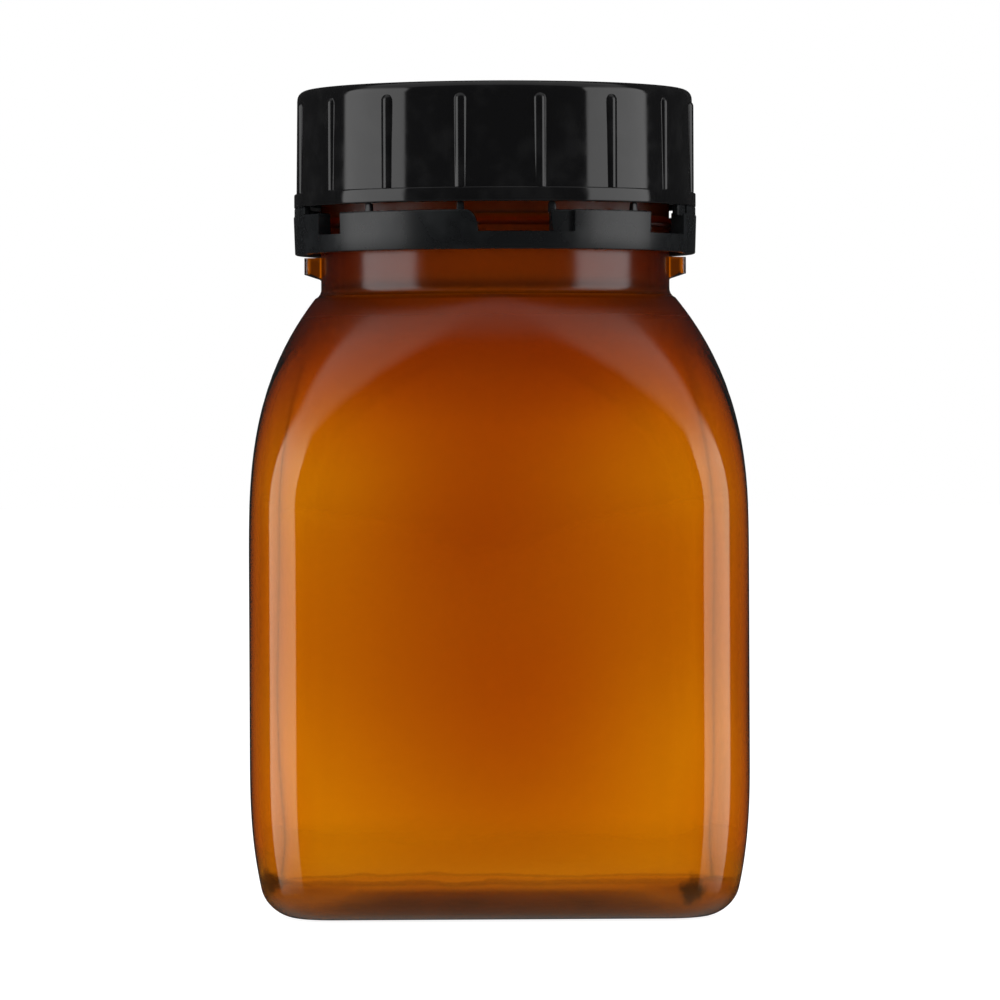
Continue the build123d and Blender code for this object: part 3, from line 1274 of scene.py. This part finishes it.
@dataclass
class SealingLiner:
    """Foamed disc in the cap, pressed slightly thinner where the lip bears on it."""

    radius: float = 23.48
    bottom: float = 100.9
    top: float = 101.9
    edge: float = 0.2

    def build(self, finish: bpy.types.Material) -> bpy.types.Object:
        """Makes the liner in place of its solid.

        Args:
            finish: The foam.

        Returns:
            The piece.
        """
        skin = Tube([math.tau * step / 144 for step in range(144)], level(1.0, self.bottom))
        pressed = self.bottom + 0.04
        rings = [(8, self.bottom), (20.2, self.bottom), (20.5, pressed), (22.3, pressed)]
        rings += [(22.6, self.bottom), (self.radius - self.edge, self.bottom)]
        rings += [(self.radius, self.bottom + self.edge), (self.radius, self.top - self.edge)]
        rings += [(self.radius - self.edge, self.top), (16, self.top), (8, self.top), (1.0, self.top)]
        skin.grow_all([level(radius, height) for radius, height in rings])
        piece = finished(skin.close(), "liner_disc", Body.LINER, finish)
        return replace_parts(piece, "sealing_liner")


# ---------------------------------------------------------------- studio


@dataclass
class Softbox:
    """Large even lamp that faces the bottle."""

    name: str
    azimuth: float  # of its middle, in degrees from the front towards +X
    distance: float
    width: float
    height: float
    middle: float  # height of its middle
    radiance: float
    tilt: float = 0.0

    def build(self) -> bpy.types.Object:
        """Makes the lamp.

        Returns:
            The lamp's object.
        """
        data = bpy.data.lights.new(self.name, "AREA")
        data.shape = "RECTANGLE"
        data.size, data.size_y = self.width, self.height
        data.energy = self.radiance * math.pi * self.width * self.height
        lamp = bpy.data.objects.new(self.name, data)
        bpy.context.scene.collection.objects.link(lamp)
        angle = math.radians(self.azimuth)
        lamp.location = (self.distance * math.sin(angle), -self.distance * math.cos(angle), self.middle)
        lamp.rotation_euler = Euler((math.radians(90 + self.tilt), 0, angle), "XYZ")
        lamp.visible_camera = False
        lamp.visible_transmission = False
        lamp.visible_glossy = False
        return lamp


@dataclass
class Studio:
    """Camera, lamps, white surroundings and pale floor.

    Gloss sees an arched light tent: two side panels that run into a dimmer roof, and are open to the
    front and the back. Lengths of the tent are in half widths, from the bottle.
    """

    distance: float = 0.7638
    eye_height: float = 0.060
    azimuth: float = -0.9
    pan: float = -0.036  # how far the camera turns off the axis
    tilt_down: float = 0.645
    roll: float = -0.25
    lens: float = 216.0
    fill: float = 0.02  # what gloss sees of the dark room
    ground: float = 0.16  # and of the ground
    tent_height: float = 0.866
    tent_front: float = 0.727
    tent_back: float = -0.14
    roof_front: float = 0.49
    roof_back: float = -0.9
    tent_light: float = 1.85
    tent_foot: Pair = (-0.55, -0.05)  # the side panels fade out downwards
    roof: Pair = (0.35, 0.75)  # slopes between which the panels run into the roof
    roof_behind: Pair = (0.62, 0.96)  # and at the back
    softness: float = 0.025  # of the panels' edges
    roof_softness: float = 0.15  # and how much softer the roof's are
    underfoot: Pair = (0.25, 0.75)  # slopes downwards between which the ground comes in
    roof_light: float = 0.42
    matt_light: float = 0.57
    ground_light: float = 0.76  # of the pale floor
    ground_lift: float = 0.10  # and how much lighter it is to the camera
    ground_shade: float = 0.30  # grey of its matt part
    # Light through the base comes from the floor under it, which is shaded at the front. The shade has
    # a round middle, and it ends across and along the bottle.
    shaded_ground: float = 0.62
    lighter_ground: float = 0.55
    shade_ahead: float = 0.026
    shade_radius: Pair = (0.002, 0.034)
    clear_ahead: float = 0.009
    clear_across: Pair = (0.027, 0.038)
    clear_along: Pair = (0.030, 0.046)
    softboxes: tuple[Softbox, ...] = (
        Softbox("left_softbox", -76.0, 0.557, 0.45, 1.30, 0.25, 1.85),
        Softbox("right_softbox", 78.5, 0.557, 0.44, 1.30, 0.25, 1.85),
        Softbox("overhead_softbox", 0.0, 0.10, 0.9, 0.5, 0.80, 0.5, tilt=-90.0),
    )

    def camera(self) -> bpy.types.Object:
        """Makes the camera, with a long lens a little above the middle of the bottle."""
        data = bpy.data.cameras.new("camera")
        data.lens, data.sensor_width = self.lens, 36.0
        data.clip_start, data.clip_end = 0.01, 50.0
        camera = bpy.data.objects.new("camera", data)
        bpy.context.scene.collection.objects.link(camera)
        angle = math.radians(self.azimuth)
        camera.location = (self.distance * math.sin(angle), -self.distance * math.cos(angle), self.eye_height)
        heading = Matrix.Rotation(math.radians(self.azimuth + self.pan), 4, "Z")
        level_view = heading @ Matrix.Rotation(math.radians(90 - self.tilt_down), 4, "X")
        turned = level_view @ Matrix.Rotation(math.radians(self.roll), 4, "Z")
        camera.rotation_euler = turned.to_euler()
        bpy.context.scene.camera = camera
        return camera

    def tent(self, world: Shader) -> Socket:
        """Adds what gloss sees in each direction.

        Args:
            world: Node tree of the world.

        Returns:
            The light's strength.
        """
        split = world.node("SeparateXYZ")
        world.link(world.node("TexCoord").outputs["Generated"], split.inputs[0])
        x, y, z = split.outputs
        reach = world.math("MAXIMUM", world.absolute(x), world.math("DIVIDE", z, self.tent_height))
        along = world.math("DIVIDE", world.times(y, -1.0), world.math("MAXIMUM", reach, 0.001))
        high = world.ramp(z, *self.roof)
        soft = world.plus(world.times(high, self.roof_softness), self.softness)
        front_edge = world.times(high, self.roof_front - self.tent_front)
        front_edge = world.plus(front_edge, self.tent_front)
        back_edge = world.times(world.ramp(z, *self.roof_behind), self.roof_back - self.tent_back)
        back_edge = world.plus(back_edge, self.tent_back)
        front = world.math("DIVIDE", world.less(front_edge, along), soft)
        back = world.math("DIVIDE", world.less(along, back_edge), soft)
        inside = world.times(world.ramp(front, -1.0, 1.0), world.ramp(back, -1.0, 1.0))
        light = world.plus(world.times(high, self.roof_light - self.tent_light), self.tent_light)
        light = world.times(light, world.ramp(z, *self.tent_foot))
        below = world.times(world.ramp(world.times(z, -1.0), *self.underfoot), self.ground)
        return world.plus(world.plus(world.times(inside, light), below), self.fill)

    def surroundings(self) -> None:
        """Makes the world: white behind everything and through the plastic, a light tent to gloss."""
        made = bpy.data.worlds.new("surroundings")
        bpy.context.scene.world = made
        made.use_nodes = True
        made.cycles.sampling_method = "NONE"
        world = Shader.of_world(made)
        path = world.node("LightPath")
        seen = world.greatest(path.outputs["Is Camera Ray"], path.outputs["Is Transmission Ray"])
        matt = path.outputs["Is Diffuse Ray"]
        tent = world.times(self.tent(world), world.less(1.0, matt))
        strength = world.plus(tent, world.times(matt, self.matt_light))
        glow = world.node("Background")
        world.link(strength, glow.inputs["Strength"])
        white = world.node("Background")
        for background in (glow, white):
            background.inputs["Color"].default_value = (1, 1, 1, 1)
        chosen = world.node("MixShader")
        world.link(seen, chosen.inputs[0])
        world.link(glow.outputs[0], chosen.inputs[1])
        world.link(white.outputs[0], chosen.inputs[2])
        world.link(chosen.outputs[0], world.output.inputs["Surface"])

    def floor(self) -> bpy.types.Object:
        """Makes the pale floor, white to the camera apart from the shadow on it."""
        mesh = bmesh.new()
        bmesh.ops.create_grid(mesh, x_segments=2, y_segments=2, size=4.0)
        data = bpy.data.meshes.new("floor")
        mesh.to_mesh(data)
        mesh.free()
        shader = Shader("pale_floor")
        path = shader.node("LightPath")
        camera = path.outputs["Is Camera Ray"]
        seen = shader.greatest(camera, path.outputs["Is Transmission Ray"])
        x, y, _ = shader.place()
        off = shader.distance(x, shader.plus(y, self.shade_ahead))
        lit = shader.times(shader.ramp(off, *self.shade_radius), self.lighter_ground)
        lit = shader.plus(lit, self.shaded_ground)
        ahead = shader.absolute(shader.plus(y, self.clear_ahead))
        across = shader.ramp(shader.absolute(x), *self.clear_across)
        clear = shader.greatest(across, shader.ramp(ahead, *self.clear_along))
        under = shader.times(shader.greatest(lit, clear, camera), self.ground_light)
        strength = shader.plus(under, shader.times(camera, self.ground_lift))
        glow = shader.node("Emission")
        shader.link(shader.times(seen, strength), glow.inputs["Strength"])
        matt = shader.node("BsdfDiffuse")
        matt.inputs["Color"].default_value = (self.ground_shade,) * 3 + (1,)
        both = shader.node("AddShader")
        shader.link(glow.outputs[0], both.inputs[0])
        shader.link(matt.outputs[0], both.inputs[1])
        shader.link(both.outputs[0], shader.output.inputs["Surface"])
        shader.material.cycles.emission_sampling = "NONE"
        data.materials.append(shader.material)
        floor = bpy.data.objects.new("floor", data)
        bpy.context.scene.collection.objects.link(floor)
        floor.visible_glossy = False
        return floor

    def build(self) -> None:
        """Makes everything round the bottle."""
        self.camera()
        self.surroundings()
        self.floor()
        for softbox in self.softboxes:
            softbox.build()
        bpy.context.scene.view_settings.view_transform = "Standard"


def main() -> None:
    """Builds the bottle, its closure and the studio."""
    logging.basicConfig(level=logging.INFO, format="%(message)s")
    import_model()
    Bottle().build(AmberPlastic().make())
    black = BlackPlastic().make()
    ScrewCap().build(black)
    TamperBand().build(SatinBlackPlastic().make())
    SealingLiner().build(LinerFoam().make())
    Studio().build()


if __name__ == "__main__":
    main()
